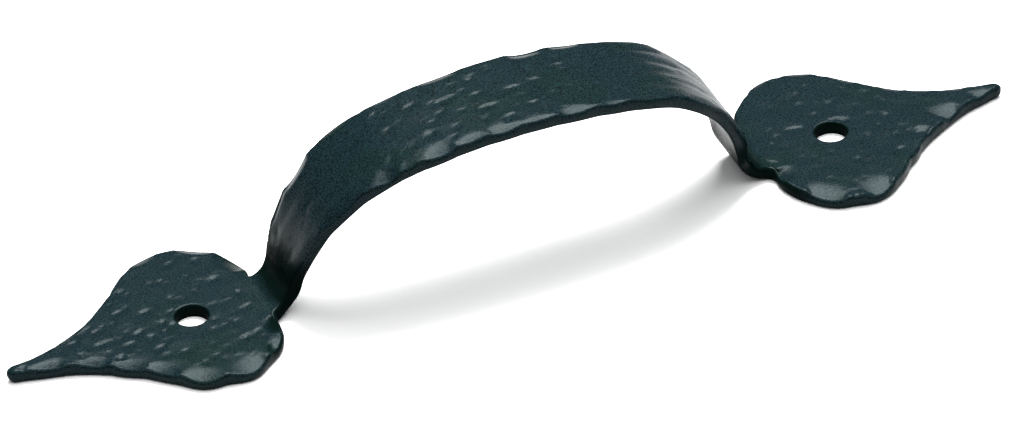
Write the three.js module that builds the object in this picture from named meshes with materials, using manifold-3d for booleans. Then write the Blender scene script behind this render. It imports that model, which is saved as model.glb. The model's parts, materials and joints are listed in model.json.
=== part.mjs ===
// Hammered cabinet pull with a pointed spade leaf at each end.
//
// The real pull is one steel strip. Its ends are forged out into leaves that lie flat on the door,
// a narrow neck behind each leaf is bent up, and the strip between the necks is bowed into a grip.
// It is made here in the same way: a straight blank gets its outline and its hammer marks while it
// is flat, is bent to the bow, and last its two screw holes are cut.
//
// Millimetres. X runs from the left tip to the right tip, Y points away from the front edge and
// Z up from the door. The origin is in the middle of the flat underside.

import * as THREE from 'three';
import { mergeVertices } from 'three/addons/utils/BufferGeometryUtils.js';
import Module from 'manifold-3d';

// Strip
const METAL_THICKNESS = 2.2;

// Screw holes and the places of necks and tips. The two ends are forged by hand and differ a little.
const HOLE_SPACING = 106;
const HOLE_DIAMETER = 5;
const HOLE_RIM_RADIUS = 0.5;
const LEFT_HOLE_TO_NECK = 10.7;
const RIGHT_HOLE_TO_NECK = 11.7;
const LEFT_HOLE_TO_TIP = 30;
const RIGHT_HOLE_TO_TIP = 29;

// Outline of a leaf: a round lobe on each side, then a hollow curve to a blunt tip
const LEAF_WIDTH = 34.8;
const LOBE_RADIUS = 10.2;
const LOBE_END_ANGLE = THREE.MathUtils.degToRad(41);
const TIP_WIDTH = 2.2;
const TIP_ROUNDING = 1.3;
const TIP_TAPER_ANGLE = THREE.MathUtils.degToRad(8);
const LOBE_HANDLE_SHARE = 0.4;
const TIP_HANDLE_SHARE = 0.48;
const TAIL_SWAY = -0.25;

// Neck
const NECK_WIDTH = 9.2;
const NECK_FILLET_RADIUS = 1.6;
const NECK_BEND_RADIUS = 4;

// Bow
const CROWN_HEIGHT = 26.5;
const CROWN_OFFSET = -1.1;
const CROWN_HALF_ANGLE = THREE.MathUtils.degToRad(11.5);
const LEFT_LEG_ANGLE = THREE.MathUtils.degToRad(80);
const RIGHT_LEG_ANGLE = THREE.MathUtils.degToRad(83);
const GRIP_WIDTH = 17.5;
const GRIP_TAPER_LENGTH = 34;

// Hammered edges. Each blow flattens a facet on the upper edge and pushes the outline out a little.
// A row gives the blow's place, its length along the edge in millimetres, its depth at the edge as a
// share of the metal's thickness, its reach in from the edge, how far it spreads the outline and how
// far the facet leans along the edge. Places count from the crown (0) to the neck (1) and on round
// the leaf to the tip (2), and are negative on the left half.
const FRONT_EDGE_BLOWS = [
  [-1.915, 6, 0.17, 1.9, 0.1, -0.2],
  [-1.776, 5.2, 0.19, 2, 0.1, -0.2],
  [-1.66, 6, 0.24, 2.8, 0.2, -0.1],
  [-1.56, 6.2, 0.29, 3.8, 0.2, 0],
  [-1.432, 7.4, 0.33, 4.4, 0.2, 0],
  [-1.275, 7.6, 0.35, 4.8, 0.1, -0.1],
  [-1.118, 4.4, 0.09, 2.4, 0.2, 0],
  [-1.03, 4.4, 0.5, 2.8, 0.1, 0.3],
  [-0.72, 8, 0.18, 2, 0.3, 0],
  [-0.57, 7, 0.18, 2, 0.3, 0],
  [-0.43, 7, 0.26, 2.9, 0.3, -1.2],
  [-0.35, 3, 0.16, 1.3, 0.1, 0],
  [-0.25, 5.6, 0.25, 3.1, 0.3, -0.1],
  [-0.152, 5, 0.16, 2, 0.1, 0],
  [-0.05, 5.6, 0.19, 2.4, 0.3, 0.1],
  [0.045, 6.6, 0.12, 1.3, 0.1, 0],
  [0.165, 6.4, 0.19, 2.2, 0.3, 0.2],
  [0.28, 4.4, 0.14, 1.3, 0.2, 0.2],
  [0.4, 6, 0.18, 1.6, 0.2, 0],
  [0.56, 7, 0.18, 2, 0.3, 0],
  [0.71, 6, 0.23, 2.2, 0.2, 0],
  [0.83, 4.6, 0.32, 1.6, 0.4, 0],
  [0.92, 4, 0.27, 1.2, 0, 0],
  [1.02, 5, 0.27, 3.4, 0.2, 0.1],
  [1.205, 9.6, 0.32, 4.2, 0.2, 0.1],
  [1.295, 1.8, 0.16, 1.2, 0, 0],
  [1.373, 8, 0.33, 4.8, 0.2, 0.2],
  [1.5, 5, 0.05, 1.4, 0.2, 0],
  [1.6, 4, 0.04, 1.2, 0.3, 0],
  [1.82, 7, 0.27, 3.8, 0.2, 0.35],
  [1.957, 5, 0.19, 2.4, 0.2, 0.35],
];
const BACK_EDGE_BLOWS = [
  [-1.92, 6, 0.16, 1.3, 0.2, 0],
  [-1.8, 6, 0.18, 1.4, 0.2, 0],
  [-1.63, 6, 0.18, 1.5, 0.3, 0],
  [-1.52, 6, 0.18, 1.4, 0.3, 0],
  [-1.38, 6, 0.27, 2, 0.4, 0],
  [-1.217, 7, 0.27, 1.8, 0.4, 0],
  [-1.085, 6.6, 0.36, 3, 0.4, 0],
  [-0.7, 6, 0.16, 1.3, 0.2, 0],
  [-0.605, 6.4, 0.36, 2.2, 0.4, 0],
  [-0.44, 7, 0.23, 1.8, 0.4, 0],
  [-0.3, 7, 0.23, 1.8, 0.4, 0],
  [-0.13, 8, 0.23, 1.8, 0.5, 0],
  [0.14, 6, 0.27, 2, 0.6, 0],
  [0.26, 5.6, 0.18, 1.4, 0.6, 0],
  [0.42, 6, 0.16, 1.6, 0.4, 0],
  [0.57, 8, 0.23, 2, 0.3, 0],
  [0.74, 8, 0.23, 2, 0.4, 0],
  [1.14, 7, 0.14, 1.5, 0.4, 0],
  [1.27, 7, 0.14, 1.3, 0.5, 0],
  [1.4, 7, 0.16, 1.3, 0.5, 0],
  [1.54, 7, 0.16, 1.3, 0.3, 0],
  [1.7, 6, 0.14, 1.3, 0.2, 0],
  [1.88, 7, 0.14, 1.3, 0.2, 0],
];

// How far the forged outline wanders out from the drawn one: place, front edge and back edge
const OUTLINE_WANDER = [
  [-2, 0.3, -0.3],
  [-1.93, 0.65, -0.6],
  [-1.8, 0.65, 0],
  [-1.68, 0.65, 0],
  [-1.62, 0, -0.25],
  [-1.5, -0.4, -0.4],
  [-1.42, -0.1, -0.1],
  [-1.35, -0.8, 0.2],
  [-1.27, 0.3, 0.5],
  [-1.2, -0.2, 0.4],
  [-1.08, 0.6, 0.8],
  [-1, 0.9, 0.9],
  [-0.965, 0.3, 0.9],
  [-0.93, -0.8, 0.9],
  [-0.84, -1.1, 1.3],
  [-0.78, -0.4, 1],
  [-0.7, 0, 1.1],
  [-0.55, 0.25, 0.3],
  [-0.4, 0.3, -0.5],
  [-0.25, 0.45, 0],
  [-0.1, 0.4, 0.4],
  [0.08, 0.4, 0.8],
  [0.24, 0.15, 0.6],
  [0.42, 0, -0.4],
  [0.56, 0, 0.4],
  [0.8, 0, 0.2],
  [0.95, 0.1, 0.3],
  [1.02, 0.3, 1.1],
  [1.08, 0.3, 0.5],
  [1.15, 0.1, -0.45],
  [1.24, 0.5, 0],
  [1.29, 0.2, 0.1],
  [1.36, 0.7, 0],
  [1.48, 0, -0.2],
  [1.62, 0.5, 0.2],
  [1.75, 1.05, 0.2],
  [1.86, 0.5, 0.2],
  [2, -0.3, 0],
];

// Shallow marks of a round hammer face, in staggered rows over the upper face
const MARK_PITCH = 5.2;
const MARK_ROW_PITCH = 3.6;
const MARK_RADIUS = 2.5;
const MARK_DEPTH = 0.16;
const MARK_SCATTER = 0.25;
const SCATTER_STRIDES = new THREE.Vector3(127.1, 311.7, 74.7);
const SCATTER_GAIN = 43758.5453;

// Divisions of the mesh
const RIBS = 180;
const LANES = 12;
const HOLE_SIDES = 40;
const RIM_STEPS = 3;

// Points closer than this are one point, and cutters run this far past the faces they cut
const WELD_DISTANCE = 1e-5;
const CUTTER_OVERRUN = 1;

const underCrown = CROWN_HEIGHT - METAL_THICKNESS;
const holeX = HOLE_SPACING / 2;
const neckEdgeY = NECK_WIDTH / 2 + NECK_FILLET_RADIUS;
const underBendRadius = NECK_BEND_RADIUS + METAL_THICKNESS;

// One edge of a leaf in plan, from the neck to the tip, on the positive X and Y side
function leafEdge(neckX, tipX) {
  const lobeY = LEAF_WIDTH / 2 - LOBE_RADIUS;
  const lobeX = neckX + Math.sqrt(LOBE_RADIUS ** 2 - (lobeY - neckEdgeY) ** 2);
  const startAngle = Math.atan2(neckEdgeY - lobeY, neckX - lobeX);
  const lobe = new THREE.EllipseCurve(
    lobeX, lobeY, LOBE_RADIUS, LOBE_RADIUS,
    startAngle, LOBE_END_ANGLE, true,
  );
  const lobeEnd = lobe.getPoint(1);
  const tip = new THREE.Vector2(tipX - TIP_ROUNDING, TIP_WIDTH / 2);
  const span = lobeEnd.distanceTo(tip);
  const lobeHandle = new THREE.Vector2(Math.sin(LOBE_END_ANGLE), -Math.cos(LOBE_END_ANGLE))
    .multiplyScalar(LOBE_HANDLE_SHARE * span)
    .add(lobeEnd);
  const tipHandle = new THREE.Vector2(-Math.cos(TIP_TAPER_ANGLE), Math.sin(TIP_TAPER_ANGLE))
    .multiplyScalar(TIP_HANDLE_SHARE * span)
    .add(tip);
  const edge = new THREE.CurvePath();
  edge.add(lobe);
  edge.add(new THREE.CubicBezierCurve(lobeEnd, lobeHandle, tipHandle, tip));
  return edge;
}

// Underside of half the bow, from the crown to the neck, as X away from the crown and height.
// The crown arc and the haunch arc take the radii with which they reach the neck bend in line.
function bowLine(reach, legAngle) {
  const run = reach - underBendRadius * Math.sin(legAngle);
  const rise = underCrown - underBendRadius * (1 - Math.cos(legAngle));
  const crownRun = Math.sin(CROWN_HALF_ANGLE);
  const crownRise = 1 - Math.cos(CROWN_HALF_ANGLE);
  const haunchRun = Math.sin(legAngle) - crownRun;
  const haunchRise = Math.cos(CROWN_HALF_ANGLE) - Math.cos(legAngle);
  const determinant = crownRun * haunchRise - haunchRun * crownRise;
  const crownRadius = (run * haunchRise - haunchRun * rise) / determinant;
  const haunchRadius = (crownRun * rise - run * crownRise) / determinant;
  const crownZ = underCrown - crownRadius;
  const haunchX = (crownRadius - haunchRadius) * Math.sin(CROWN_HALF_ANGLE);
  const haunchZ = crownZ + (crownRadius - haunchRadius) * Math.cos(CROWN_HALF_ANGLE);
  const up = Math.PI / 2;
  const line = new THREE.CurvePath();
  line.add(new THREE.EllipseCurve(
    0, crownZ, crownRadius, crownRadius,
    up, up - CROWN_HALF_ANGLE, true,
  ));
  line.add(new THREE.EllipseCurve(
    haunchX, haunchZ, haunchRadius, haunchRadius,
    up - CROWN_HALF_ANGLE, up - legAngle, true,
  ));
  line.add(new THREE.EllipseCurve(
    reach, underBendRadius, underBendRadius, underBendRadius,
    3 * up - legAngle, 3 * up, false,
  ));
  return line;
}

// The half of the pull on one side: -1 is the left and 1 the right
function halfPull(side, holeToNeck, holeToTip, legAngle) {
  const neckX = holeX - holeToNeck;
  const tipX = holeX + holeToTip;
  const line = bowLine(neckX - side * CROWN_OFFSET, legAngle);
  const edge = leafEdge(neckX, tipX);
  const bowLength = line.getLength();
  return { side, neckX, tipX, line, edge, bowLength, edgeLength: edge.getLength() };
}

const leftHalf = halfPull(-1, LEFT_HOLE_TO_NECK, LEFT_HOLE_TO_TIP, LEFT_LEG_ANGLE);
const rightHalf = halfPull(1, RIGHT_HOLE_TO_NECK, RIGHT_HOLE_TO_TIP, RIGHT_LEG_ANGLE);

// Half the width of the strip between crown and neck, at a distance from the crown
function bowHalfWidth(half, away) {
  const fromNeck = half.bowLength - away;
  const taper = Math.min(GRIP_TAPER_LENGTH, half.bowLength);
  const widening = THREE.MathUtils.smoothstep(fromNeck, 0, taper);
  const flare = Math.max(0, NECK_FILLET_RADIUS - fromNeck);
  const fillet = NECK_FILLET_RADIUS - Math.sqrt(NECK_FILLET_RADIUS ** 2 - flare ** 2);
  return THREE.MathUtils.lerp(NECK_WIDTH, GRIP_WIDTH, widening) / 2 + fillet;
}

// A blow on the flat blank, whose lengthwise coordinate is the distance from the crown, negative on
// the left: the point of the edge that it meets, how far along the edge that is, and the directions
// along the edge and in from it, for the edge at positive Y
function placeBlow([place, length, depthShare, reach, spread, lean], face) {
  const half = place < 0 ? leftHalf : rightHalf;
  const share = Math.min(2, Math.abs(place));
  const onBow = share < 1;
  const point = new THREE.Vector2();
  const run = new THREE.Vector2(1, 0);
  let station = share * half.bowLength;
  if (onBow) {
    point.set(station, bowHalfWidth(half, station));
  } else {
    station = half.bowLength + (share - 1) * half.edgeLength;
    point.copy(half.edge.getPoint(share - 1));
    point.x += half.bowLength - half.neckX;
    run.copy(half.edge.getTangent(share - 1));
  }
  const inward = new THREE.Vector2(run.y * half.side, -run.x);
  point.x *= half.side;
  run.x *= half.side;
  const depth = depthShare * METAL_THICKNESS;
  station *= half.side;
  return { half, face, onBow, station, length, depth, reach, spread, lean, point, run, inward };
}

const blows = [
  ...FRONT_EDGE_BLOWS.map((row) => placeBlow(row, -1)),
  ...BACK_EDGE_BLOWS.map((row) => placeBlow(row, 1)),
];

// How far the outline wanders at a place, between the two rows next to it
function wanderAt(face, place) {
  const column = face < 0 ? 1 : 2;
  const next = OUTLINE_WANDER.findIndex((row) => row[0] > place);
  if (next === 0) return OUTLINE_WANDER[0][column];
  if (next < 0) return OUTLINE_WANDER.at(-1)[column];
  const before = OUTLINE_WANDER[next - 1];
  const after = OUTLINE_WANDER[next];
  const share = THREE.MathUtils.inverseLerp(before[0], after[0], place);
  return THREE.MathUtils.lerp(before[column], after[column], share);
}

// How far the outline lies outside the drawn one, at a distance from the crown along the edge
function outlineShift(half, face, away) {
  const station = half.side * away;
  let spread = 0;
  for (const blow of blows) {
    if (blow.face !== face) continue;
    const off = (station - blow.station) / (blow.length / 2);
    spread = Math.max(spread, blow.spread * (1 - off * off));
  }
  const share = away < half.bowLength
    ? away / half.bowLength
    : 1 + (away - half.bowLength) / half.edgeLength;
  return spread + wanderAt(face, half.side * share);
}

// Repeatable scatter between -1 and 1 for a row and a column
function scatter(column, row, salt) {
  const wave = Math.sin(SCATTER_STRIDES.dot(new THREE.Vector3(column, row, salt))) * SCATTER_GAIN;
  return 2 * (wave - Math.floor(wave)) - 1;
}

// Depth of the hammering at a point of the flat blank
function hammering(half, x, y) {
  const onBow = Math.abs(x) < half.bowLength;
  let depth = 0;
  for (const blow of blows) {
    if (blow.onBow !== onBow || (!onBow && blow.half !== half)) continue;
    const dx = x - blow.point.x;
    const dy = blow.face * y - blow.point.y;
    const along = (dx * blow.run.x + dy * blow.run.y) / (blow.length / 2);
    const inward = (dx * blow.inward.x + dy * blow.inward.y) / blow.reach;
    const leaning = blow.lean * blow.half.side * along;
    depth = Math.max(depth, blow.depth * (1 - along ** 4 - inward - leaning));
  }
  const nearRow = Math.round(y / MARK_ROW_PITCH);
  for (let row = nearRow - 1; row <= nearRow + 1; row++) {
    const stagger = row % 2 === 0 ? 0 : 0.5;
    const nearColumn = Math.round(x / MARK_PITCH - stagger);
    for (let column = nearColumn - 1; column <= nearColumn + 1; column++) {
      const markX = (column + stagger + MARK_SCATTER * scatter(column, row, 1)) * MARK_PITCH;
      const markY = (row + MARK_SCATTER * scatter(column, row, 2)) * MARK_ROW_PITCH;
      const radius = MARK_RADIUS * (1 + MARK_SCATTER * scatter(column, row, 3));
      const markDepth = MARK_DEPTH * (1 + MARK_SCATTER * scatter(column, row, 4));
      const off = Math.hypot(x - markX, y - markY) / radius;
      depth = Math.max(depth, markDepth * (1 - off * off));
    }
  }
  return depth;
}

// Sideways drift of a leaf's tail, which grows from the hole to the tip
function swayAt(half, x) {
  return TAIL_SWAY * THREE.MathUtils.smoothstep(x, holeX, half.tipX);
}

// Moves a point of the blank to its place on the finished pull. Along and across run from -1 to 1,
// and through runs from 0 on the underside to 1 on the upper face.
function forge(along, across, through, target) {
  const half = along < 0 ? leftHalf : rightHalf;
  const away = Math.abs(along) * (half.bowLength + half.edgeLength);
  const shift = outlineShift(half, across < 0 ? -1 : 1, away);
  if (away < half.bowLength) {
    const point = half.line.getPoint(away / half.bowLength);
    const heading = half.line.getTangent(away / half.bowLength);
    const y = across * (bowHalfWidth(half, away) + shift);
    const level = through * (METAL_THICKNESS - hammering(half, half.side * away, y));
    return target.set(
      CROWN_OFFSET + half.side * (point.x - heading.y * level),
      y,
      point.y + heading.x * level,
    );
  }
  const share = Math.min(1, (away - half.bowLength) / half.edgeLength);
  const point = half.edge.getPoint(share);
  const run = half.edge.getTangent(share);
  const middle = THREE.MathUtils.lerp(half.neckX, half.tipX, share);
  const x = THREE.MathUtils.lerp(middle, point.x - run.y * shift, across * across);
  const y = across * (point.y + run.x * shift);
  const blankX = half.side * (half.bowLength + x - half.neckX);
  const level = through * (METAL_THICKNESS - hammering(half, blankX, y));
  return target.set(half.side * x, y + swayAt(half, x), level);
}

// The blank is a box whose grid is moved point by point
function forgedStrip() {
  const geometry = new THREE.BoxGeometry(2, 2, 1, RIBS, LANES, 1);
  geometry.deleteAttribute('normal');
  geometry.deleteAttribute('uv');
  geometry.clearGroups();
  const position = geometry.getAttribute('position');
  const point = new THREE.Vector3();
  for (let index = 0; index < position.count; index++) {
    point.fromBufferAttribute(position, index);
    forge(point.x, point.y, point.z + 0.5, point);
    position.setXYZ(index, point.x, point.y, point.z);
  }
  return mergeVertices(geometry, WELD_DISTANCE);
}

// Cutter for a screw hole, with a rim that rounds over into the upper face
function holeCutter() {
  const radius = HOLE_DIAMETER / 2;
  const rimRadius = radius + HOLE_RIM_RADIUS;
  const bottom = -CUTTER_OVERRUN;
  const top = METAL_THICKNESS + CUTTER_OVERRUN;
  const profile = [new THREE.Vector2(0, bottom), new THREE.Vector2(radius, bottom)];
  for (let step = 0; step <= RIM_STEPS; step++) {
    const angle = (step / RIM_STEPS) * (Math.PI / 2);
    profile.push(new THREE.Vector2(
      rimRadius - HOLE_RIM_RADIUS * Math.cos(angle),
      METAL_THICKNESS - HOLE_RIM_RADIUS * (1 - Math.sin(angle)),
    ));
  }
  profile.push(new THREE.Vector2(rimRadius, top), new THREE.Vector2(0, top));
  return new THREE.LatheGeometry(profile, HOLE_SIDES).rotateX(Math.PI / 2);
}

const wasm = await Module();
wasm.setup();

function toSolid(geometry) {
  const bare = geometry.clone();
  bare.deleteAttribute('normal');
  bare.deleteAttribute('uv');
  const merged = mergeVertices(bare, WELD_DISTANCE);
  return new wasm.Manifold(new wasm.Mesh({
    numProp: 3,
    vertProperties: merged.getAttribute('position').array,
    triVerts: Uint32Array.from(merged.index.array),
  }));
}

function toGeometry(solid) {
  const mesh = solid.getMesh();
  const geometry = new THREE.BufferGeometry();
  geometry.setAttribute('position', new THREE.Float32BufferAttribute(mesh.vertProperties, 3));
  geometry.setIndex(new THREE.Uint32BufferAttribute(mesh.triVerts, 1));
  geometry.computeVertexNormals();
  return geometry;
}

const blackPaint = new THREE.MeshStandardMaterial({
  color: 0x2d3d41,
  roughness: 0.4,
  metalness: 0.0,
});

let pull = toSolid(forgedStrip());
for (const side of [-1, 1]) {
  const cutter = holeCutter().translate(side * holeX, 0, 0);
  pull = pull.subtract(toSolid(cutter));
}

const handle = new THREE.Mesh(toGeometry(pull), blackPaint);
handle.name = 'pull_handle';

const cabinetPull = new THREE.Group();
cabinetPull.add(handle);

export default cabinetPull;
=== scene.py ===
import json
import math

import bpy
import numpy as np
from mathutils import Matrix, Vector

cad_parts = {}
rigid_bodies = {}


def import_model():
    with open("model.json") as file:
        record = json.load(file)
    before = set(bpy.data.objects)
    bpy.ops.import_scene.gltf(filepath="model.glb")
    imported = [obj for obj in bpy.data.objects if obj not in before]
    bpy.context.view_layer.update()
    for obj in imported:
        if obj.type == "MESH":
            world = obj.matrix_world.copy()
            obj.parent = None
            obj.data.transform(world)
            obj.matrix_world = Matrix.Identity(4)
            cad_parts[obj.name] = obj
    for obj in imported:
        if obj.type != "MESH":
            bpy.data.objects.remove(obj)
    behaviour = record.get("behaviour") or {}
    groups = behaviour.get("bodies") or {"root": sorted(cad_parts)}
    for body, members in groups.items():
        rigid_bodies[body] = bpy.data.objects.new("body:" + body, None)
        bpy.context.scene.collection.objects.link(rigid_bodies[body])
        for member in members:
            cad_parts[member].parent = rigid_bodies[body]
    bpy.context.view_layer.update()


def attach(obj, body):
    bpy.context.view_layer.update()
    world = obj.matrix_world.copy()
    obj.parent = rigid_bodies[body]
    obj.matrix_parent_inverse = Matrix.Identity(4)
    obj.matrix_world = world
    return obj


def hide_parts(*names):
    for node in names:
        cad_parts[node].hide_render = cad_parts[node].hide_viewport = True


for leftover in list(bpy.data.objects):
    bpy.data.objects.remove(leftover)

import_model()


# The pull. One strip of mild steel whose ends are forged into flat leaves and whose middle is bowed
# into a grip. The smith draws it out with a round-faced hammer, flattens the edges with glancing
# blows, drills a screw hole in each leaf and has it painted satin black.
MM = 0.001
thickness = 2.2
hole_spacing = 106.0
hole_diameter = 5.0
hole_rim_radius = 0.5
hole_to_neck = {-1: 10.7, 1: 11.7}
hole_to_tip = {-1: 30.0, 1: 29.0}
leaf_width = 34.8
lobe_radius = 10.2
lobe_end_angle = math.radians(41)
tip_width = 2.2
nose_length = 1.6
tip_taper_angle = math.radians(8)
lobe_handle_share = 0.4
tip_handle_share = 0.48
tail_sway = -0.25
neck_width = 9.2
neck_fillet = 1.6
neck_bend = 4.0 + thickness
crown_height = 26.5
crown_offset = -1.1
crown_half_angle = math.radians(11.5)
leg_angle = {-1: math.radians(80), 1: math.radians(83)}
grip_width = 17.5
grip_taper_length = 34.0
top_edge_radius = 0.6
under_edge_radius = 0.5

hole_x = hole_spacing / 2

# Blows on the edges: place (0 crown, 1 neck, 2 tip, negative on the left), length along the edge,
# depth at the edge, reach in from it, spread of the outline and how far the flat leans along the edge
front_edge_blows = [
    (-1.915, 6, 0.38, 1.9, 0.1, -0.2), (-1.776, 5.2, 0.42, 2, 0.1, -0.2),
    (-1.66, 6, 0.52, 2.8, 0.2, -0.1), (-1.56, 6.2, 0.64, 3.8, 0.2, 0), (-1.432, 7.4, 0.72, 4.4, 0.2, 0),
    (-1.275, 7.6, 0.76, 4.8, 0.1, -0.1), (-1.118, 4.4, 0.2, 2.4, 0.2, 0),
    (-1.03, 4.4, 1.1, 2.8, 0.1, 0.3), (-0.72, 8, 0.4, 2, 0.3, 0), (-0.57, 7, 0.4, 2, 0.3, 0),
    (-0.43, 7, 0.58, 2.9, 0.3, -1.2), (-0.35, 3, 0.35, 1.3, 0.1, 0), (-0.25, 5.6, 0.55, 3.1, 0.3, -0.1),
    (-0.152, 5, 0.36, 2, 0.1, 0), (-0.05, 5.6, 0.42, 2.4, 0.3, 0.1), (0.045, 6.6, 0.26, 1.3, 0.1, 0),
    (0.165, 6.4, 0.42, 2.2, 0.3, 0.2), (0.28, 4.4, 0.3, 1.3, 0.2, 0.2), (0.4, 6, 0.4, 1.6, 0.2, 0),
    (0.56, 7, 0.4, 2, 0.3, 0), (0.71, 6, 0.5, 2.2, 0.2, 0), (0.83, 4.6, 0.7, 1.6, 0.4, 0),
    (0.92, 4, 0.6, 1.2, 0, 0), (1.02, 5, 0.6, 3.4, 0.2, 0.1), (1.205, 9.6, 0.7, 4.2, 0.2, 0.1),
    (1.295, 1.8, 0.35, 1.2, 0, 0), (1.373, 8, 0.72, 4.8, 0.2, 0.2), (1.5, 5, 0.1, 1.4, 0.2, 0),
    (1.6, 4, 0.08, 1.2, 0.3, 0), (1.82, 7, 0.6, 3.8, 0.2, 0.35), (1.957, 5, 0.42, 2.4, 0.2, 0.35),
]
back_edge_blows = [
    (-1.92, 6, 0.35, 1.3, 0.2, 0), (-1.8, 6, 0.4, 1.4, 0.2, 0), (-1.63, 6, 0.4, 1.5, 0.3, 0),
    (-1.52, 6, 0.4, 1.4, 0.3, 0), (-1.38, 6, 0.6, 2, 0.4, 0), (-1.217, 7, 0.6, 1.8, 0.4, 0),
    (-1.085, 6.6, 0.8, 3, 0.4, 0), (-0.7, 6, 0.35, 1.3, 0.2, 0), (-0.605, 6.4, 0.8, 2.2, 0.4, 0),
    (-0.44, 7, 0.5, 1.8, 0.4, 0), (-0.3, 7, 0.5, 1.8, 0.4, 0), (-0.13, 8, 0.5, 1.8, 0.5, 0),
    (0.14, 6, 0.6, 2, 0.6, 0), (0.26, 5.6, 0.4, 1.4, 0.6, 0), (0.42, 6, 0.35, 1.6, 0.4, 0),
    (0.57, 8, 0.5, 2, 0.3, 0), (0.74, 8, 0.5, 2, 0.4, 0), (1.14, 7, 0.3, 1.5, 0.4, 0),
    (1.27, 7, 0.3, 1.3, 0.5, 0), (1.4, 7, 0.35, 1.3, 0.5, 0), (1.54, 7, 0.35, 1.3, 0.3, 0),
    (1.7, 6, 0.3, 1.3, 0.2, 0), (1.88, 7, 0.3, 1.3, 0.2, 0),
]

# Shape of such a flat: steepness of its round end walls, how much it narrows inward on the right leaf,
# how hollow it is along the edge, how its slope eases off inward, how softly it meets the end walls
# and the face (front, back), and how far out from its middle it is worked out
blow_steepness = 1.7
blow_fan = 0.35
blow_hollow = 0.38
blow_ease = 1.7
blow_blend = 0.35
rim_blend = {-1: 0.11, 1: 0.05}
blow_end = 1.3
blow_inner_end = 1.8

# The lip of metal that a blow on the back edge of a leaf raises around its flat
lip_height = 0.11
lip_width = 0.45
lip_set_back = 0.8

# How far the forged outline wanders from the drawn one: place, front edge, back edge
outline_wander = [
    (-2, 0.3, -0.3), (-1.93, 0.65, -0.6), (-1.8, 0.65, 0), (-1.68, 0.65, 0), (-1.62, 0, -0.25),
    (-1.5, -0.4, -0.4), (-1.42, -0.1, -0.1), (-1.35, -0.8, 0.2), (-1.27, 0.3, 0.5), (-1.2, -0.2, 0.4),
    (-1.08, 0.6, 0.8), (-1, 0.9, 0.9), (-0.965, 0.3, 0.9), (-0.93, -0.8, 0.9), (-0.84, -1.1, 1.3),
    (-0.78, -0.4, 1), (-0.7, 0, 1.1), (-0.55, 0.25, 0.3), (-0.4, 0.3, -0.5), (-0.25, 0.45, 0),
    (-0.1, 0.4, 0.4), (0.08, 0.4, 0.8), (0.24, 0.15, 0.6), (0.42, 0, -0.4), (0.56, 0, 0.4), (0.8, 0, 0.2),
    (0.95, 0.1, 0.3), (1.02, 0.3, 1.1), (1.08, 0.3, 0.5), (1.15, 0.1, -0.45), (1.24, 0.5, 0),
    (1.29, 0.2, 0.1), (1.36, 0.7, 0), (1.48, 0, -0.2), (1.62, 0.5, 0.2), (1.75, 1.05, 0.2),
    (1.86, 0.5, 0.2), (2, -0.3, 0),
]
wander_rounding = 0.9

# How far apart two points are taken to find the run of the outline, at a blow and at a rib
blow_run_reach = 0.05
rib_run_reach = 0.15


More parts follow.
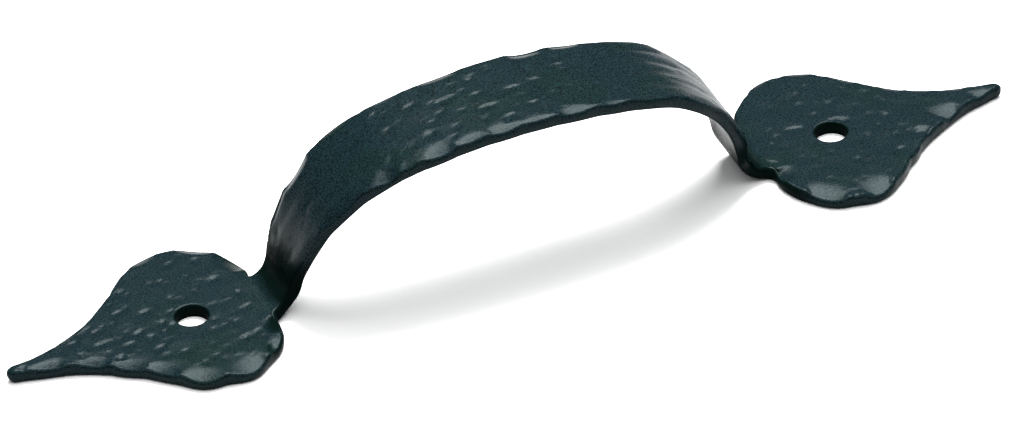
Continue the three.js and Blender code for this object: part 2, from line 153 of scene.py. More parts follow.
class HalfPull:
    """The left (-1) or right (1) half: the bent line of its bow and the edge of its flat blank."""

    def __init__(self, side):
        self.side = side
        self.neck_x = hole_x - hole_to_neck[side]
        self.tip_x = hole_x + hole_to_tip[side]
        leg = leg_angle[side]
        run = self.neck_x - side * crown_offset - neck_bend * math.sin(leg)
        rise = crown_height - thickness - neck_bend * (1 - math.cos(leg))
        slopes = np.array([
            [math.sin(crown_half_angle), math.sin(leg) - math.sin(crown_half_angle)],
            [1 - math.cos(crown_half_angle), math.cos(crown_half_angle) - math.cos(leg)],
        ])
        crown_radius, haunch_radius = np.linalg.solve(slopes, [run, rise])
        self.arcs = [
            (crown_radius, crown_half_angle),
            (haunch_radius, leg - crown_half_angle),
            (neck_bend, -leg),
        ]
        self.bow_length = sum(radius * abs(turn) for radius, turn in self.arcs)

        neck_y = neck_width / 2 + neck_fillet
        lobe_y = leaf_width / 2 - lobe_radius
        lobe_x = self.neck_x + math.sqrt(lobe_radius**2 - (lobe_y - neck_y) ** 2)
        start = math.atan2(neck_y - lobe_y, self.neck_x - lobe_x) % (2 * math.pi)
        swing = np.linspace(start, lobe_end_angle, 400)
        lobe = np.stack([lobe_x + lobe_radius * np.cos(swing), lobe_y + lobe_radius * np.sin(swing)], 1)
        lobe_end = lobe[-1]
        tip = np.array([self.tip_x - nose_length, tip_width / 2])
        span = math.dist(lobe_end, tip)
        lobe_way = np.array([math.sin(lobe_end_angle), -math.cos(lobe_end_angle)])
        tip_way = np.array([-math.cos(tip_taper_angle), math.sin(tip_taper_angle)])
        lobe_handle = lobe_end + lobe_handle_share * span * lobe_way
        tip_handle = tip + tip_handle_share * span * tip_way
        t = np.linspace(0, 1, 500)[1:, None]
        left = 1 - t
        tail = left**3 * lobe_end + 3 * left**2 * t * lobe_handle + 3 * left * t**2 * tip_handle + t**3 * tip
        self.edge = np.concatenate([lobe, tail])
        steps = np.hypot(*np.diff(self.edge, axis=0).T)
        self.edge_station = np.concatenate([[0], np.cumsum(steps)])
        self.edge_length = self.edge_station[-1]

    def bow_line(self, away):
        """Distance from the crown, height and heading of the underside, at distances along the bow."""
        x = np.zeros_like(away)
        z = np.full_like(away, crown_height - thickness)
        heading = np.zeros_like(away)
        left = away.copy()
        for radius, turn in self.arcs:
            length = radius * abs(turn)
            bend = math.copysign(1 / radius, turn)
            next_heading = heading + np.clip(left, 0, length) * bend
            x = x + (np.sin(next_heading) - np.sin(heading)) / bend
            z = z + (np.cos(next_heading) - np.cos(heading)) / bend
            heading = next_heading
            left = np.maximum(left - length, 0)
        return x + left, z, heading

    def bow_half_width(self, away):
        from_neck = self.bow_length - away
        u = np.clip(from_neck / grip_taper_length, 0, 1)
        flare = np.clip(neck_fillet - from_neck, 0, neck_fillet)
        fillet = neck_fillet - np.sqrt(neck_fillet**2 - flare**2)
        return (neck_width + (grip_width - neck_width) * u * u * (3 - 2 * u)) / 2 + fillet

    def outline(self, away):
        """Edge and middle of the flat blank, at distances from the crown along the edge."""
        on_leaf = away >= self.bow_length
        along_edge = np.clip(away - self.bow_length, 0, self.edge_length)
        leaf_x = np.interp(along_edge, self.edge_station, self.edge[:, 0]) - self.neck_x + self.bow_length
        leaf_y = np.interp(along_edge, self.edge_station, self.edge[:, 1])
        edge_x = np.where(on_leaf, leaf_x, away)
        edge_y = np.where(on_leaf, leaf_y, self.bow_half_width(np.minimum(away, self.bow_length)))
        leaf_reach = self.tip_x - nose_length - self.neck_x
        leaf_middle = self.bow_length + leaf_reach * along_edge / self.edge_length
        middle = np.where(on_leaf, leaf_middle, away)
        return edge_x, edge_y, middle, on_leaf


halves = {side: HalfPull(side) for side in (-1, 1)}


def placed_blows(rows, face):
    """Puts each blow on the edge of the flat blank, with the directions along the edge and inward."""
    blows = []
    for place, length, depth, reach, spread, lean in rows:
        side = -1 if place < 0 else 1
        half = halves[side]
        share = abs(place)
        on_leaf = share >= 1
        if on_leaf:
            away = half.bow_length + (share - 1) * half.edge_length
        else:
            away = share * half.bow_length
        near = np.array([away - blow_run_reach, away, away + blow_run_reach])
        edge_x, edge_y, _, _ = half.outline(near)
        run = np.array([edge_x[2] - edge_x[0], edge_y[2] - edge_y[0]])
        run /= np.hypot(*run)
        blows.append(dict(
            side=side, face=face, on_leaf=on_leaf, station=side * away, length=length, depth=depth,
            reach=reach, spread=spread, lean=lean, x=side * edge_x[1], y=edge_y[1],
            run=(side * run[0], run[1]), inward=(side * run[1], -run[0]),
        ))
    return blows


edge_blows = placed_blows(front_edge_blows, -1) + placed_blows(back_edge_blows, 1)


def place_of(station):
    """Place along the edge, from -2 at the left tip to 2 at the right one, at a signed station."""
    half_bow = np.where(station < 0, halves[-1].bow_length, halves[1].bow_length)
    half_edge = np.where(station < 0, halves[-1].edge_length, halves[1].edge_length)
    away = np.abs(station)
    place = np.where(away < half_bow, away / half_bow, 1 + (away - half_bow) / half_edge)
    return np.sign(station) * place


def wander_of_edge(face, station):
    places, front, back = np.array(outline_wander).T
    offsets = front if face < 0 else back
    steps = np.linspace(-wander_rounding, wander_rounding, 5)
    return np.mean([np.interp(place_of(station + step), places, offsets) for step in steps], axis=0)


def spread_of_edge(face, station):
    spread = np.zeros_like(station)
    for blow in edge_blows:
        if blow["face"] == face:
            off = (station - blow["station"]) / (blow["length"] / 2)
            spread = np.maximum(spread, blow["spread"] * (1 - off**2))
    return spread


def soft_max(a, b, blend):
    gap = np.clip(0.5 + 0.5 * (a - b) / blend, 0, 1)
    return b + (a - b) * gap + blend * gap * (1 - gap)


# Shallow marks of the hammer's round face over the whole upper side
mark_pitch = 5.2
mark_row_pitch = 3.6
mark_rows = 5
mark_radius = 2.7
mark_depth = 0.05
mark_blend = 0.02
mark_scatter = 0.3
mark_radius_spread = 0.25
mark_depth_spread = 0.5

# The steeper step that each glancing blow leaves at its far rim: width of its wall, way back up to
# the face beyond it, depth, curl of its near end and where that starts and ends, share of its length,
# rounding of its ends, and the depths of an edge flat that begins to wipe it out and that leaves nothing
step_wall = 0.62
step_reach = 1.6
step_depth = 0.055
step_hook = 0.45
hook_start = 0.3
hook_end = 1.5
step_half_share = 0.45
step_end_round = 0.25
wiped_from = 0.04
wiped_at = 0.16

# The smaller steps between them: half the field they lie in, length, lean and force
lesser_step_count = 420
lesser_field = (112, 15)
lesser_length = (0.6, 1.7)
lesser_lean = (5, 14)
lesser_force = (0.4, 1.5)

# Marks and steps are worked out this far from their middle
mark_window = 4

# Steps left by single blows: where the middle of the step is on the flat blank, its length, how it
# lies (degrees from lengthwise) and how hard the blow was
hammer_steps = [
    # left leaf
    (-81.9, 2.0, 1.4, -7, 2.0), (-78.0, -0.1, 3.0, -5, 3.0), (-74.4, -2.2, 2.2, -2, 2.0),
    (-72.5, -0.2, 2.0, 11, 3.0), (-76.8, 3.8, 1.0, 8, 1.5), (-79.2, 4.3, 2.0, -2, 1.5),
    (-80.4, 3.6, 2.4, -5, 1.5), (-82.2, -1.6, 1.2, 36, 2.0), (-77.1, -4.8, 1.8, 26, 3.5),
    (-75.1, 3.8, 0.7, 1, 1.0), (-59.9, 15.7, 0.9, 14, 2.0), (-61.9, 14.5, 1.3, -7, 1.5),
    (-57.9, 13.7, 1.4, -9, 2.0), (-57.6, 7.7, 2.5, 12, 3.0), (-64.7, 10.7, 0.6, -10, 2.5),
    (-63.8, 9.9, 1.5, -25, 1.0), (-60.7, 10.1, 0.6, -17, 1.5), (-67.1, 9.4, 0.6, 9, 1.0),
    (-71.2, 11.1, 2.0, -15, 1.5), (-70.7, 9.7, 1.5, 5, 1.5), (-65.0, 6.0, 1.2, 16, 2.0),
    (-63.6, 5.2, 2.1, -29, 0.8), (-73.4, 6.1, 1.6, -10, 2.5), (-74.3, 8.5, 1.6, -7, 1.5),
    (-69.5, 4.5, 1.9, -14, 3.0), (-68.3, 0.7, 1.5, 20, 2.5), (-66.8, -0.5, 1.1, 0, 2.5),
    (-71.9, 6.8, 0.8, -1, 1.5), (-65.6, 2.7, 0.7, -45, 2.0), (-61.0, 6.0, 0.7, 22, 1.0),
    (-60.8, -2.1, 0.8, 5, 1.5), (-59.5, 1.6, 1.9, -7, 1.0), (-57.4, 1.5, 2.2, 0, 1.0),
    (-55.2, 2.7, 1.0, 26, 2.5), (-55.1, -1.1, 1.4, -1, 2.5), (-58.0, -4.1, 1.4, 8, 2.0),
    (-56.4, -1.6, 0.9, 30, 1.5), (-61.7, -4.4, 1.4, 9, 2.0), (-58.4, -8.5, 1.9, 5, 3.0),
    (-56.5, -8.1, 2.5, 25, 3.0), (-70.8, -5.2, 2.4, 12, 3.0), (-71.0, -1.9, 1.4, 12, 2.0),
    (-68.7, -1.6, 1.2, 22, 2.5), (-70.5, -7.3, 1.8, 13, 1.5), (-63.2, -7.9, 0.6, 9, 1.0),
    (-61.4, -9.4, 1.0, -7, 1.0),
    # bow
    (-23.0, 6.6, 1.1, 12, 1.0), (-20.8, 4.9, 0.5, 48, 1.5), (-17.7, 1.5, 1.5, 20, 2.0),
    (-23.5, 1.9, 0.9, 34, 1.0), (-19.7, -4.6, 1.2, 24, 1.5), (-32.7, 0.1, 1.9, -18, 1.5),
    (-26.0, -3.1, 0.7, -5, 0.8), (-17.9, 6.4, 1.1, -4, 1.5), (-16.1, 5.6, 0.5, -48, 1.0),
    (-12.7, 4.9, 2.2, 1, 2.0), (-7.6, 3.3, 3.6, -3, 3.0), (-11.6, -1.0, 1.5, 19, 2.0),
    (-9.4, 0.6, 0.8, -18, 1.5), (-13.2, -3.4, 2.0, 28, 1.5), (-8.9, -3.9, 1.1, 10, 1.5),
    (-10.1, -6.1, 1.4, 2, 1.5), (-6.2, -0.7, 0.9, -34, 1.5), (-3.1, 5.9, 1.2, 23, 2.5),
    (-3.3, 2.0, 1.5, 7, 2.5), (-2.7, -1.7, 3.3, -9, 2.5), (0.4, 7.2, 1.5, -6, 1.5), (5.1, 8.8, 0.7, 6, 1.5),
    (2.3, 1.2, 2.6, -10, 2.5), (6.1, 1.8, 2.2, -13, 1.5), (10.8, 4.3, 1.5, -6, 2.5),
    (11.6, 2.7, 0.5, -90, 2.0), (4.0, -4.0, 1.0, -42, 2.0), (1.1, -3.7, 0.7, 4, 1.0),
    (-1.1, -5.7, 2.2, 11, 2.5), (-4.2, -4.2, 1.1, -4, 1.0), (19.3, 1.4, 1.8, -52, 0.8),
    (18.8, -8.1, 1.5, 15, 1.5), (20.1, -8.1, 0.4, -4, 1.5), (21.5, -7.9, 1.2, 23, 1.5),
    (14.1, 5.7, 0.8, -29, 0.8),
    # right leaf
    (61.4, 3.7, 3.4, -24, 2.5), (57.6, 3.0, 1.1, 7, 2.0), (56.3, 1.3, 0.8, -5, 1.5),
    (65.3, 5.8, 1.4, 5, 2.0), (67.2, 13.4, 1.0, 0, 1.5), (65.1, 12.3, 0.6, -4, 1.0),
    (63.1, 11.3, 0.6, 16, 1.0), (64.2, 9.3, 1.5, 10, 1.5), (68.6, 7.6, 1.2, -1, 1.5),
    (69.7, 8.0, 0.6, -10, 1.0), (72.1, 5.2, 1.3, 18, 1.5), (62.6, 17.2, 1.5, 3, 1.5),
    (67.8, 3.2, 3.2, -9, 2.0), (75.3, 7.9, 2.2, -9, 1.0), (75.3, 0.7, 1.1, -3, 1.5),
    (73.2, -1.3, 0.8, 4, 1.5), (70.5, -2.8, 0.6, 5, 1.5), (69.6, -4.1, 1.3, 26, 1.0),
    (74.6, -4.7, 1.3, 2, 1.5), (73.6, -8.6, 1.7, 0, 2.0), (66.6, -8.0, 1.5, 0, 2.0),
    (67.7, -9.3, 1.2, 2, 0.8), (63.4, -4.7, 1.0, 18, 1.5), (60.9, -4.7, 1.1, -18, 1.0),
    (54.9, -3.3, 1.7, -65, 2.0), (58.2, -5.3, 1.2, 0, 0.8), (85.6, 2.0, 0.9, -16, 0.8),
]

# Broader flats away from the edges: middle, length, width of the slope, lean and depth
broad_blows = [
    (79, -5.4, 2.6, 1.9, -35, 0.34), (62.7, -15.4, 1.2, 0.8, 10, 0.2),
    (-54.8, -12.1, 1.9, 2.2, -10, 0.42), (69.2, 2.5, 2.8, 1.1, -12, 0.13),
    (-91.2, -0.5, 1.4, 0.8, 5, 0.2),
]

# Lengthwise drawing marks on the two legs: middle, length, width and depth
leg_grooves = [
    (-36.5, 3.2, 13, 1.8, 0.05), (-33, -0.9, 13, 2, 0.03), (-38, -2.6, 9, 1.8, 0.03),
    (-31, 4.6, 12, 1.8, 0.04), (-29.5, -4.4, 14, 2.2, 0.03), (-40.5, 1.2, 7, 1.6, 0.04),
    (-26, 1.6, 12, 2.4, 0.03), (27, 5.6, 14, 1.7, 0.09), (31, 2.2, 16, 1.6, 0.11),
    (27, -0.6, 15, 2, 0.06), (32.5, -3.1, 14, 1.7, 0.08), (36, 4.4, 13, 1.5, 0.12),
    (37.5, 1, 14, 1.6, 0.12), (38, -1.6, 12, 1.5, 0.09), (43, 2.6, 9, 1.5, 0.08),
    (21, 3.2, 12, 2, 0.07), (33.5, 6.6, 10, 1.4, 0.1), (24, -4.6, 10, 2, 0.07),
]


def smoothstep(a, b, x):
    t = np.clip((x - a) / (b - a), 0, 1)
    return t * t * (3 - 2 * t)


rng = np.random.default_rng(7)


def scattered_marks():
    """Places the round marks in staggered rows, a little scattered, over the length of the blank."""
    marks = []
    reach = halves[1].bow_length + (halves[1].tip_x - halves[1].neck_x)
    columns = int(reach / mark_pitch) + 1
    for row in range(-mark_rows, mark_rows + 1):
        for column in range(-columns, columns + 1):
            jitter = rng.uniform(-1, 1, 6)
            x = (column + (0.5 if row % 2 else 0) + mark_scatter * jitter[0]) * mark_pitch
            y = (row + mark_scatter * jitter[1]) * mark_row_pitch
            radius = mark_radius * (1 + mark_radius_spread * jitter[2])
            marks.append((x, y, radius, mark_depth * (1 + mark_depth_spread * jitter[3])))
    return marks


def hammering(x, y, side, on_leaf):
    """Depth below the plain upper face at points of the flat blank."""
    depth = np.zeros_like(x)
    for blow in edge_blows:
        dx = x - blow["x"]
        dy = blow["face"] * y - blow["y"]
        along = (dx * blow["run"][0] + dy * blow["run"][1]) / (blow["length"] / 2)
        from_edge = dx * blow["inward"][0] + dy * blow["inward"][1]
        inward = from_edge / blow["reach"]
        plane = 1 - inward - blow["lean"] * blow["side"] * along - blow_hollow * along**2
        rolled = np.sign(plane) * np.abs(plane) ** blow_ease
        fan = blow_fan if blow["station"] > halves[1].bow_length else 0
        narrowing = 1 - fan * (1 - np.clip(inward, 0, 1))
        bowl = blow_steepness * (1 - (along / narrowing) ** 2 - (1 - fan) * inward**2)
        if blow["on_leaf"]:
            mine = on_leaf & (side == blow["side"])
        else:
            mine = ~on_leaf
        mine &= (np.abs(along) < blow_end) & (inward < blow_inner_end)
        cut = -blow["depth"] * soft_max(-rolled, -bowl, blow_blend)
        depth = np.where(mine, soft_max(depth, cut, rim_blend[blow["face"]]), depth)
        if blow["face"] > 0 and blow["on_leaf"]:
            rim = cut / blow["depth"] * blow["reach"] / lip_width
            lip = lip_height * np.exp(-((rim + lip_set_back) ** 2)) * (np.abs(along) < 1)
            depth = np.where(mine, depth - lip, depth)
    untouched = 1 - smoothstep(wiped_from, wiped_at, depth)
    for mx, my, radius, deep in round_marks:
        near = (np.abs(x - mx) < mark_window) & (np.abs(y - my) < mark_window)
        if not near.any():
            continue
        dx = x[near] - mx
        dy = y[near] - my
        off = np.hypot(dx, dy) / radius
        dent = deep * (1 - off**2)
        depth[near] = soft_max(depth[near], dent, mark_blend)
    for mx, my, length, width, deep in leg_grooves:
        near = ~on_leaf & (np.abs(x - mx) < length / 2) & (np.abs(y - my) < width)
        along = (x[near] - mx) / (length / 2)
        aside = (y[near] - my) / (width / 2)
        depth[near] += deep * (1 - along**2) * np.exp(-(aside**2))
    slopes = [(*blow, 1) for blow in broad_blows]
    for mx, my, length, lean, force in hammer_steps + lesser_steps:
        slopes.append((mx, my, length, step_wall, lean, step_depth * force, untouched))
    for mx, my, length, wide, lean, deep, room_left in slopes:
        near = (np.abs(x - mx) < mark_window) & (np.abs(y - my) < mark_window)
        dx = x[near] - mx
        dy = y[near] - my
        tilt = math.radians(lean)
        p = (dx * math.cos(tilt) + dy * math.sin(tilt)) / (step_half_share * length + step_end_round)
        curl = step_hook * np.clip(hook_start - p, 0, hook_end) ** 2
        q = dx * math.sin(tilt) - dy * math.cos(tilt) + wide / 2 - curl
        shape = np.clip(1 - np.abs(p) ** 3, 0, 1)
        wall = smoothstep(0, wide, q) * (1 - smoothstep(wide, wide + step_reach, q))
        depth[near] += deep * shape * wall * np.broadcast_to(room_left, x.shape)[near]
    return depth


round_marks = scattered_marks()
lesser_steps = []
for _ in range(lesser_step_count):
    x, y = (rng.uniform(-half_size, half_size) for half_size in lesser_field)
    length = rng.uniform(*lesser_length)
    lean = rng.normal(*lesser_lean)
    lesser_steps.append((x, y, length, lean, rng.uniform(*lesser_force)))

# The section: across the top from the front edge to the back, down the back edge, under and up. Each
# point has its place across, its way in from the outline, its rise, the share of the upper edge's
# height that it follows and the share of the edge's spread that it takes
top_lanes = 150
under_lanes = 10
corner_steps = 5
side_steps = 3
edge_crowding = 0.35
side_bulge = 0.05
under_follow = 0.6

across, inset, rise, follow, flare = [], [], [], [], []


def section_point(*point):
    for values, value in zip((across, inset, rise, follow, flare), point):
        values.append(value)


def section_side(face, order):
    """From the upper face down over one edge to the underside, or the other way round."""
    points = []
    for step in range(1, corner_steps + 1):
        angle = step / corner_steps * math.pi / 2
        drop = -top_edge_radius * (1 - math.cos(angle))
        points.append((top_edge_radius * (1 - math.sin(angle)), drop, 1, 1))
    for step in range(1, side_steps):
        share = step / side_steps
        bulge = -side_bulge * math.sin(share * math.pi)
        height = -top_edge_radius * (1 - share) + under_edge_radius * share
        points.append((bulge, height, 1 - share, 1 - (1 - under_follow) * share))
    for step in range(0, corner_steps + 1):
        angle = step / corner_steps * math.pi / 2
        height = under_edge_radius * (1 - math.sin(angle))
        points.append((under_edge_radius * (1 - math.cos(angle)), height, 0, under_follow))
    for point in points[::order]:
        section_point(face, *point)


top_range = slice(0, top_lanes + 1)
for lane in range(top_lanes + 1):
    even = 2 * lane / top_lanes - 1
    crowded = -math.cos(lane / top_lanes * math.pi)
    section_point(crowded * edge_crowding + even * (1 - edge_crowding), top_edge_radius, 0, 1, 1)
section_side(1, 1)
for lane in range(1, under_lanes):
    section_point(1 - 2 * lane / under_lanes, under_edge_radius, 0, 0, under_follow)
section_side(-1, -1)
across, inset, rise, follow, flare = (np.array(v, float) for v in (across, inset, rise, follow, flare))

# Ribs from the left tip to the right one
rib_pitch = 0.44
stations = []
for side in (-1, 1):
    half = halves[side]
    total = half.bow_length + half.edge_length
    count = int(total / rib_pitch)
    stations.append(side * np.linspace(0, total, count))
stations = np.concatenate([stations[0][:0:-1], stations[1]])

rib_side = np.where(stations < 0, -1, 1)
edge_x = np.zeros_like(stations)
edge_y = np.zeros_like(stations)
middle = np.zeros_like(stations)
on_leaf = np.zeros(len(stations), bool)
out_x = np.zeros_like(stations)
out_y = np.zeros_like(stations)
for side in (-1, 1):
    mine = rib_side == side
    away = np.abs(stations[mine])
    edge_x[mine], edge_y[mine], middle[mine], on_leaf[mine] = halves[side].outline(away)
    ahead = halves[side].outline(away + rib_run_reach)
    behind = halves[side].outline(np.abs(away - rib_run_reach))
    run_x = ahead[0] - behind[0] + 1e-9
    run_y = ahead[1] - behind[1]
    size = np.hypot(run_x, run_y)
    out_x[mine] = -run_y / size
    out_y[mine] = run_x / size

spread = np.where(
    across[None, :] < 0,
    spread_of_edge(-1, stations)[:, None],
    spread_of_edge(1, stations)[:, None],
)
wander = np.where(
    across[None, :] < 0,
    wander_of_edge(-1, stations)[:, None],
    wander_of_edge(1, stations)[:, None],
)
shift = wander + spread * flare[None, :] - inset[None, :]
point_x = edge_x[:, None] + out_x[:, None] * shift
point_y = edge_y[:, None] + out_y[:, None] * shift
blank_x = middle[:, None] + (point_x - middle[:, None]) * across[None, :] ** 2
blank_y = across[None, :] * point_y
signed_x = blank_x * rib_side[:, None]
side_grid = np.repeat(rib_side[:, None], len(across), 1)
leaf_grid = np.repeat(on_leaf[:, None], len(across), 1)

level = np.zeros_like(blank_x)
top = hammering(*(sheet[:, top_range] for sheet in (signed_x, blank_y, side_grid, leaf_grid)))
level[:, top_range] = thickness - top
edge_level = np.where(across[None, :] < 0, level[:, :1], level[:, top_lanes:top_lanes + 1])
rest = slice(top_lanes + 1, None)
level[:, rest] = follow[rest] * edge_level[:, rest] + rise[rest]

grid = np.zeros((*blank_x.shape, 3))
for side in (-1, 1):
    half = halves[side]
    mine = rib_side == side
    x, z, heading = half.bow_line(np.maximum(blank_x[mine], 0).ravel())
    shape = blank_x[mine].shape
    x, z, heading = (v.reshape(shape) for v in (x, z, heading))
    up = level[mine]
    flat = leaf_grid[mine]
    flat_x = blank_x[mine] - half.bow_length + half.neck_x
    world_x = np.where(flat, flat_x, side * crown_offset + x + np.sin(heading) * up)
    world_z = np.where(flat, up, z + np.cos(heading) * up)
    sway = tail_sway * smoothstep(hole_x, half.tip_x, world_x)
    grid[mine] = np.stack([side * world_x, blank_y[mine] + np.where(flat, sway, 0), world_z], 2)

# Rounded noses close the two tips
nose_height_share = 0.6
nose_droop = 0.8
nose_steps = 8
rings = []
for end, forward in ((0, -1), (-1, 1)):
    ring = grid[end]
    centre = ring.mean(0)
    centre[2] = nose_height_share * thickness
    noses = []
    for step in range(1, nose_steps):
        angle = step / nose_steps * math.pi / 2
        shrink = math.cos(angle)
        nose = centre + (ring - centre) * np.array([shrink, shrink, shrink**nose_droop])
        nose[:, 0] += forward * nose_length * math.sin(angle)
        noses.append(nose)
    rings.append(noses)
grid = np.concatenate([np.array(rings[0][::-1]), grid, np.array(rings[1])])
rib_count, section_count, _ = grid.shape
vertices = grid.reshape(-1, 3) * MM
faces = []
for rib in range(rib_count - 1):
    for point in range(section_count):
        other = (point + 1) % section_count
        a = rib * section_count
        b = a + section_count
        faces.append((a + point, a + other, b + other, b + point))
tips = [grid[0].mean(0), grid[-1].mean(0)]
tips[0][0] = -halves[-1].tip_x
tips[1][0] = halves[1].tip_x
vertices = np.concatenate([vertices, np.array(tips) * MM])
left_tip, right_tip = len(vertices) - 2, len(vertices) - 1
last = (rib_count - 1) * section_count
for point in range(section_count):
    other = (point + 1) % section_count
    faces.append((left_tip, other, point))
    faces.append((right_tip, last + point, last + other))

mesh = bpy.data.meshes.new("hammered_pull")
mesh.from_pydata(vertices.tolist(), [], faces)
mesh.validate()
mesh.update()
pull = bpy.data.objects.new("hammered_pull", mesh)
bpy.context.scene.collection.objects.link(pull)


def hole_cutter(x):
    """A drill with a rounded shoulder that takes the burr off the rim."""
    radius = hole_diameter / 2
    overrun = 1
    mean_dent = 0.05
    shoulder_steps = 6
    sides = 64
    profile = [(radius, -overrun)]
    for step in range(shoulder_steps + 1):
        angle = step / shoulder_steps * math.pi / 2
        shoulder = radius + hole_rim_radius * (1 - math.cos(angle))
        profile.append((shoulder, thickness - mean_dent - hole_rim_radius * (1 - math.sin(angle))))
    profile.append((radius + hole_rim_radius, thickness + overrun))
    points, polygons = [], []
    for r, z in profile:
        for k in range(sides):
            angle = 2 * math.pi * k / sides
            points.append(((x + r * math.cos(angle)) * MM, r * math.sin(angle) * MM, z * MM))
    rows = len(profile)
    for row in range(rows - 1):
        for k in range(sides):
            other = (k + 1) % sides
            low = row * sides
            high = low + sides
            polygons.append((low + k, low + other, high + other, high + k))
    polygons.append(tuple(range(sides))[::-1])
    polygons.append(tuple(range((rows - 1) * sides, rows * sides)))
    cutter_mesh = bpy.data.meshes.new("drill")
    cutter_mesh.from_pydata(points, [], polygons)
    cutter_mesh.update()
    cutter = bpy.data.objects.new("drill", cutter_mesh)
    bpy.context.scene.collection.objects.link(cutter)
    return cutter


for side in (-1, 1):
    drill = hole_cutter(side * hole_x)
    cut = pull.modifiers.new("screw hole", "BOOLEAN")
    cut.operation = "DIFFERENCE"
    cut.solver = "EXACT"
    cut.object = drill
    bpy.context.view_layer.objects.active = pull
    bpy.ops.object.modifier_apply(modifier=cut.name)
    bpy.data.objects.remove(drill)

pull.data.shade_smooth()
pull.data.set_sharp_from_angle(angle=math.radians(50))

paint = bpy.data.materials.new("satin_black_paint")
paint.use_nodes = True
nodes, links = paint.node_tree.nodes, paint.node_tree.links
shader = nodes["Principled BSDF"]
shader.inputs["Specular Tint"].default_value = (0.8, 0.98, 1, 1)
shader.inputs["Metallic"].default_value = 0.0
place = nodes.new("ShaderNodeTexCoord")
patches = nodes.new("ShaderNodeTexNoise")
patches.inputs["Scale"].default_value = 260
patches.inputs["Detail"].default_value = 3
tint = nodes.new("ShaderNodeMix")
tint.data_type = "RGBA"
tint.inputs[6].default_value = (0.008, 0.0225, 0.0272, 1)
tint.inputs[7].default_value = (0.0106, 0.0255, 0.0315, 1)
gloss = nodes.new("ShaderNodeMapRange")
gloss.inputs["To Min"].default_value = 0.19
gloss.inputs["To Max"].default_value = 0.26
links.new(place.outputs["Object"], patches.inputs["Vector"])
links.new(patches.outputs["Fac"], tint.inputs[0])
links.new(patches.outputs["Fac"], gloss.inputs["Value"])
links.new(gloss.outputs["Result"], shader.inputs["Roughness"])

# Where the coat is thicker it turns greener
drifts = nodes.new("ShaderNodeTexNoise")
drifts.inputs["Scale"].default_value = 85
drifts.inputs["Detail"].default_value = 3
thick = nodes.new("ShaderNodeMapRange")
thick.inputs["From Min"].default_value = 0.5
thick.inputs["From Max"].default_value = 0.66
thick.inputs["To Max"].default_value = 0.8
greened = nodes.new("ShaderNodeMix")
greened.data_type = "RGBA"
greened.inputs[7].default_value = (0.0074, 0.0242, 0.0206, 1)
links.new(place.outputs["Object"], drifts.inputs["Vector"])
links.new(drifts.outputs["Fac"], thick.inputs["Value"])
links.new(thick.outputs["Result"], greened.inputs[0])
links.new(tint.outputs[2], greened.inputs[6])

# A fine grain, as of sprayed paint
grain = nodes.new("ShaderNodeTexNoise")
grain.inputs["Scale"].default_value = 4200
grain.inputs["Detail"].default_value = 1
specks = nodes.new("ShaderNodeMapRange")
specks.inputs["From Min"].default_value = 0.4
specks.inputs["From Max"].default_value = 0.6
specks.inputs["To Min"].default_value = 0.4
specks.inputs["To Max"].default_value = 1.6
speckled = nodes.new("ShaderNodeVectorMath")
speckled.operation = "SCALE"
bump = nodes.new("ShaderNodeBump")
bump.inputs["Strength"].default_value = 0.42
bump.inputs["Distance"].default_value = 0.00008
links.new(place.outputs["Object"], grain.inputs["Vector"])
links.new(grain.outputs["Fac"], specks.inputs["Value"])
links.new(greened.outputs[2], speckled.inputs[0])
links.new(specks.outputs["Result"], speckled.inputs["Scale"])
links.new(grain.outputs["Fac"], bump.inputs["Height"])
links.new(bump.outputs["Normal"], shader.inputs["Normal"])

# Painted shade: the coat is darkened and made less glossy on the slopes of the two bends, where shade falls,
# and inside the holes
bend_middle = (0.0402, 0, 0.004)
parts = nodes.new("ShaderNodeSeparateXYZ")
across_bend = nodes.new("ShaderNodeMath")
across_bend.operation = "MULTIPLY"
across_bend.inputs[1].default_value = 0.35
lie = nodes.new("ShaderNodeNewGeometry")
lie_parts = nodes.new("ShaderNodeSeparateXYZ")
slope = nodes.new("ShaderNodeMapRange")
slope.inputs["From Min"].default_value = 0.985
slope.inputs["From Max"].default_value = 0.85
bend_only = nodes.new("ShaderNodeMath")
bend_only.operation = "MULTIPLY"
from_middle = nodes.new("ShaderNodeMath")
from_middle.operation = "ABSOLUTE"
folded = nodes.new("ShaderNodeCombineXYZ")
on_plan = nodes.new("ShaderNodeCombineXYZ")
to_bend = nodes.new("ShaderNodeVectorMath")
to_bend.operation = "DISTANCE"
to_bend.inputs[1].default_value = bend_middle
to_hole = nodes.new("ShaderNodeVectorMath")
to_hole.operation = "DISTANCE"
to_hole.inputs[1].default_value = (hole_x * MM, 0, 0)
ragged = nodes.new("ShaderNodeMath")
ragged.operation = "MULTIPLY_ADD"
ragged.inputs[1].default_value = 0.011
# Painted shade across the bends, strongest near their middle, with a ragged border
bend_shade = nodes.new("ShaderNodeMapRange")
bend_shade.interpolation_type = "SMOOTHSTEP"
bend_shade.inputs["From Min"].default_value = 0.0155
bend_shade.inputs["From Max"].default_value = 0.0095
# Painted shade inside the holes
in_hole = nodes.new("ShaderNodeMath")
in_hole.operation = "LESS_THAN"
in_hole.inputs[1].default_value = (hole_diameter / 2 + 0.25) * MM
# Painted shade of the bends and the holes together, which darkens the colour and lowers the gloss
painted_shade = nodes.new("ShaderNodeMath")
painted_shade.operation = "MAXIMUM"
shine = nodes.new("ShaderNodeMapRange")
shine.inputs["To Min"].default_value = 0.1
shine.inputs["To Max"].default_value = 0.01
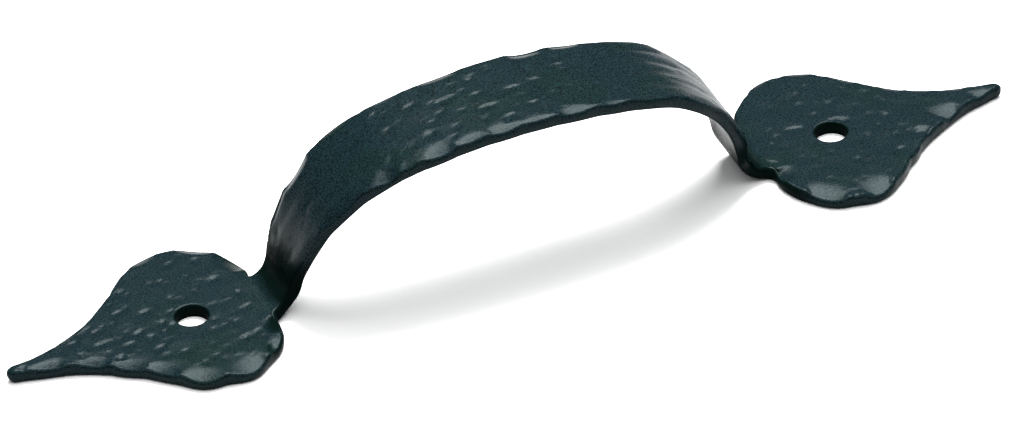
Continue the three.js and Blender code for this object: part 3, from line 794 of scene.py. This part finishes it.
# The colour of the painted shade
painted_shade_colour = nodes.new("ShaderNodeMix")
painted_shade_colour.data_type = "RGBA"
painted_shade_colour.inputs[7].default_value = (0.0035, 0.0115, 0.0098, 1)
links.new(place.outputs["Object"], parts.inputs["Vector"])
links.new(parts.outputs["X"], from_middle.inputs[0])
links.new(from_middle.outputs[0], folded.inputs["X"])
links.new(parts.outputs["Y"], across_bend.inputs[0])
links.new(across_bend.outputs[0], folded.inputs["Y"])
links.new(parts.outputs["Z"], folded.inputs["Z"])
links.new(from_middle.outputs[0], on_plan.inputs["X"])
links.new(parts.outputs["Y"], on_plan.inputs["Y"])
links.new(folded.outputs["Vector"], to_bend.inputs[0])
links.new(on_plan.outputs["Vector"], to_hole.inputs[0])
links.new(patches.outputs["Fac"], ragged.inputs[0])
links.new(to_bend.outputs["Value"], ragged.inputs[2])
links.new(ragged.outputs[0], bend_shade.inputs["Value"])
links.new(to_hole.outputs["Value"], in_hole.inputs[0])
links.new(lie.outputs["Normal"], lie_parts.inputs["Vector"])
links.new(lie_parts.outputs["Z"], slope.inputs["Value"])
links.new(bend_shade.outputs["Result"], bend_only.inputs[0])
links.new(slope.outputs["Result"], bend_only.inputs[1])
links.new(bend_only.outputs[0], painted_shade.inputs[0])
links.new(in_hole.outputs[0], painted_shade.inputs[1])
links.new(painted_shade.outputs[0], shine.inputs["Value"])
links.new(painted_shade.outputs[0], painted_shade_colour.inputs[0])
links.new(speckled.outputs["Vector"], painted_shade_colour.inputs[6])
links.new(painted_shade_colour.outputs[2], shader.inputs["Base Color"])
links.new(shine.outputs["Result"], shader.inputs["Specular IOR Level"])
pull.data.materials.append(paint)

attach(pull, "root")
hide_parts("pull_handle")


# The table. A plain white board that the pull lies on, which keeps its soft shadow. It shows brighter
# than white, is mirrored as white, and throws only a third of its light back onto the pull.
table_half = 1.6
board = bpy.data.meshes.new("white_table")
corners = [(-1, -1, 0), (1, -1, 0), (1, 1, 0), (-1, 1, 0)]
board.from_pydata([(x * table_half, y * table_half, z) for x, y, z in corners], [], [(0, 1, 2, 3)])
table = bpy.data.objects.new("white_table", board)
bpy.context.scene.collection.objects.link(table)
white = bpy.data.materials.new("white_board")
white.use_nodes = True
nodes, links = white.node_tree.nodes, white.node_tree.links
plain = nodes["Principled BSDF"]
plain.inputs["Roughness"].default_value = 0.9
plain.inputs["Specular IOR Level"].default_value = 0.0
rays = nodes.new("ShaderNodeLightPath")
mirrored = nodes.new("ShaderNodeMath")
mirrored.operation = "MAXIMUM"
in_mirrors = nodes.new("ShaderNodeMix")
in_mirrors.data_type = "RGBA"
in_mirrors.inputs[6].default_value = (0.35, 0.35, 0.35, 1)
in_mirrors.inputs[7].default_value = (1, 1, 1, 1)
shown = nodes.new("ShaderNodeMix")
shown.data_type = "RGBA"
shown.inputs[7].default_value = (1.9, 1.9, 1.9, 1)
links.new(rays.outputs["Is Glossy Ray"], mirrored.inputs[0])
links.new(rays.outputs["Is Transmission Ray"], mirrored.inputs[1])
links.new(mirrored.outputs[0], in_mirrors.inputs[0])
links.new(in_mirrors.outputs[2], shown.inputs[6])
links.new(rays.outputs["Is Camera Ray"], shown.inputs[0])
links.new(shown.outputs[2], plain.inputs["Base Color"])
board.materials.append(white)


# The light. A small softbox high up behind the pull, which its hammered flats mirror, a wide one
# overhead and a dim even room.
def softbox(name, place, aim, width, depth, watts):
    lamp_data = bpy.data.lights.new(name, "AREA")
    lamp_data.shape = "RECTANGLE"
    lamp_data.size = width
    lamp_data.size_y = depth
    lamp_data.energy = watts
    lamp = bpy.data.objects.new(name, lamp_data)
    lamp.location = place
    lamp.rotation_euler = (Vector(aim) - Vector(place)).to_track_quat("-Z", "Y").to_euler()
    bpy.context.scene.collection.objects.link(lamp)


softbox("softbox_behind", (0.3, 0.52, 1.07), (0, 0, 0), 0.68, 0.45, 16)
softbox("softbox_overhead", (0, -0.1, 1.5), (0, 0, 0), 2.2, 2.2, 17)

room = bpy.data.worlds.new("room")
bpy.context.scene.world = room
room.use_nodes = True
room.node_tree.nodes["Background"].inputs["Color"].default_value = (0.15, 0.15, 0.15, 1)
room.node_tree.nodes["Background"].inputs["Strength"].default_value = 1


# The camera, a long lens looking down over the front left corner. Its distance and its two offsets
# from the pull's middle are in millimetres.
azimuth = math.radians(20.115)
elevation = math.radians(35.47)
roll = math.radians(-4.02)
distance = 1214.88
right_of_axis = 0.598
above_axis = -2.673
focal_pixels = 7930.55
picture_width = 1024
sensor_width = 36
level_share = math.cos(elevation)
towards = Vector((-math.sin(azimuth) * level_share, -math.cos(azimuth) * level_share, math.sin(elevation)))
right = Vector((0, 0, 1)).cross(towards).normalized()
upward = towards.cross(right)
view_x = right * math.cos(roll) + upward * math.sin(roll)
view_y = upward * math.cos(roll) - right * math.sin(roll)
centre = -(view_x * right_of_axis + view_y * above_axis - towards * distance) * MM
camera_data = bpy.data.cameras.new("camera")
camera_data.lens = focal_pixels * sensor_width / picture_width
camera_data.sensor_width = sensor_width
camera_data.clip_start = 0.05
camera = bpy.data.objects.new("camera", camera_data)
camera.matrix_world = Matrix.Translation(centre) @ Matrix((view_x, view_y, towards)).transposed().to_4x4()
bpy.context.scene.collection.objects.link(camera)
bpy.context.scene.camera = camera

bpy.context.scene.view_settings.view_transform = "Standard"
